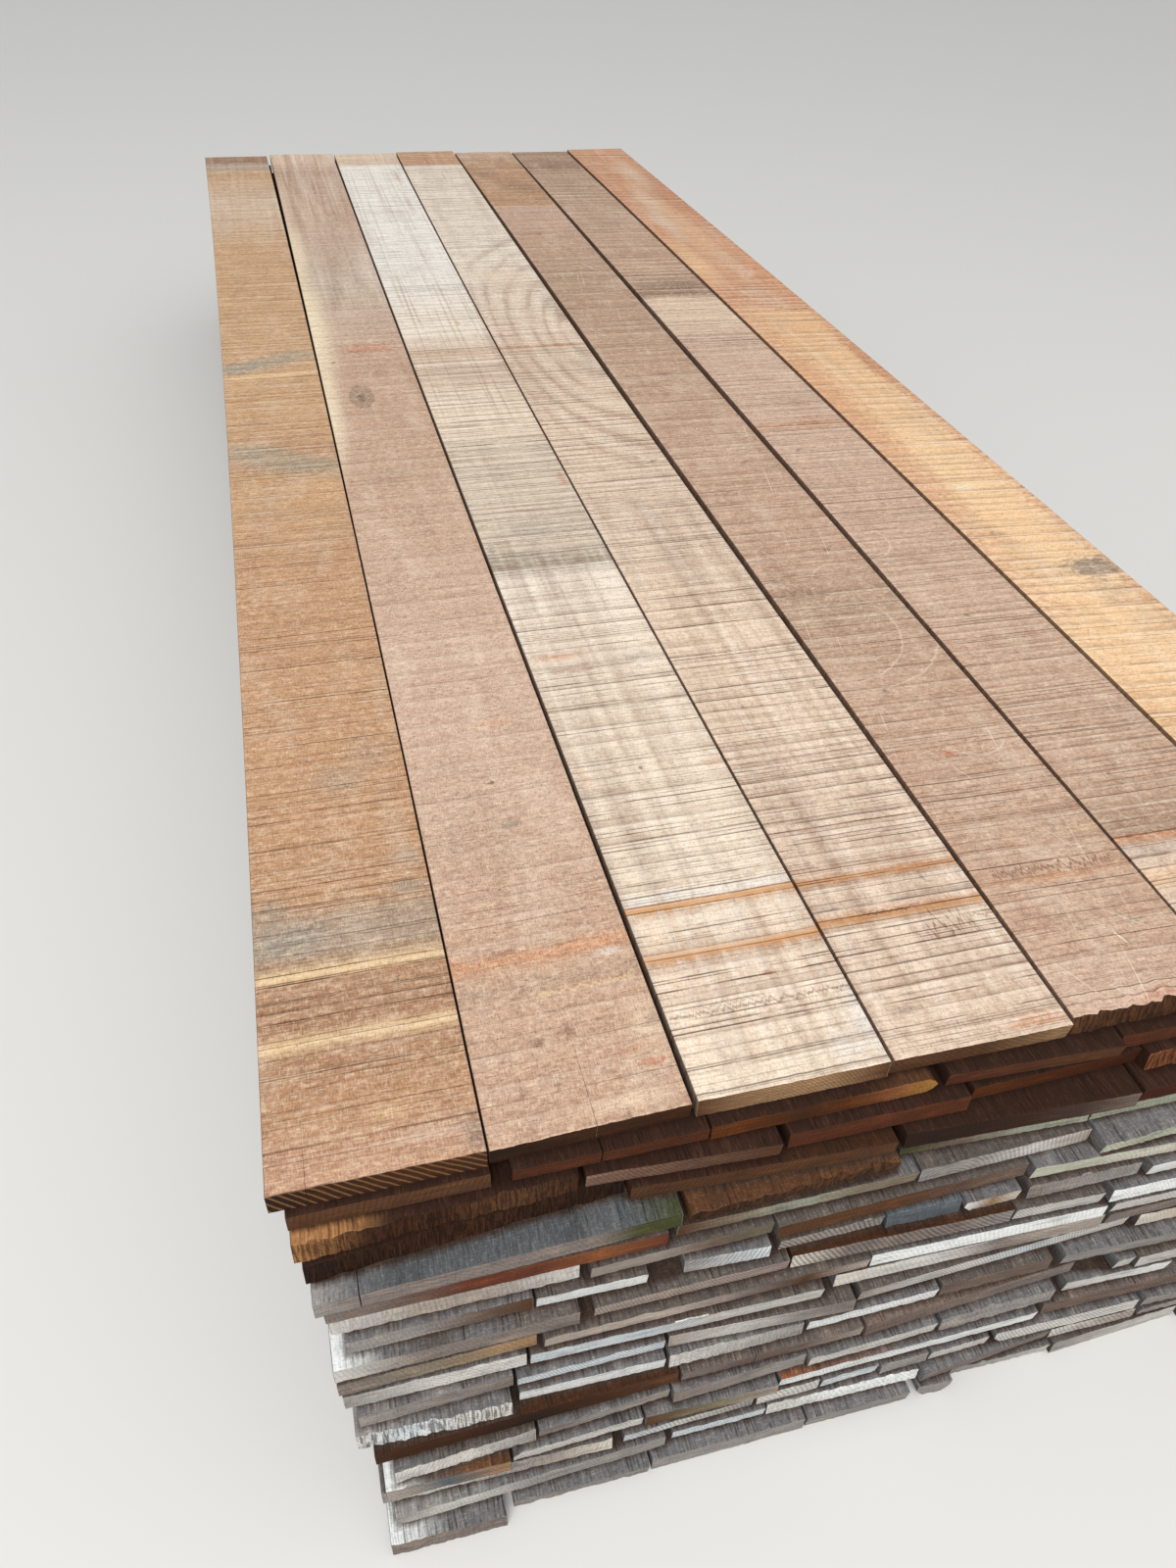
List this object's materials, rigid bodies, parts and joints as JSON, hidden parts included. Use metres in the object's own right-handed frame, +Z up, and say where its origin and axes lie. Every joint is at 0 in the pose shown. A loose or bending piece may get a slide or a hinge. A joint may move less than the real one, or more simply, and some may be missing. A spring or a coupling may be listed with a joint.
{
  "type": "stack of lumber",
  "caption": "Low wide stack of rough-sawn boards laid flat and edge to edge, layer on layer, with uneven ends stepping out towards the bottom.",
  "frame": {"origin": "middle of the stack's underside, on the floor it lies on", "axes": "+X across the boards, to the right for someone who faces their near ends; +Y along the boards, away from those near ends; +Z up"},
  "size_m": [1.617, 4.218, 0.484],
  "materials": {
    "fresh_boards": "matte",
    "weathered_boards": "matte"
  },
  "bodies": {
    "root": {"layer_19": "weathered_boards", "layer_18": "weathered_boards", "layer_17": "weathered_boards", "layer_16": "weathered_boards", "layer_15": "weathered_boards", "layer_14": "weathered_boards", "layer_13": "weathered_boards", "layer_12": "weathered_boards", "layer_11": "weathered_boards", "layer_10": "weathered_boards", "layer_09": "weathered_boards", "layer_08": "weathered_boards", "layer_07": "weathered_boards", "layer_06": "weathered_boards", "layer_05": "weathered_boards", "layer_04": "fresh_boards", "layer_03": "fresh_boards", "layer_02": "fresh_boards", "top_board_1": "fresh_boards", "top_board_2": "fresh_boards", "top_board_3": "fresh_boards", "top_board_4": "fresh_boards", "top_board_5": "fresh_boards", "top_board_6": "fresh_boards", "top_board_7": "fresh_boards"}
  },
  "joints": []
}
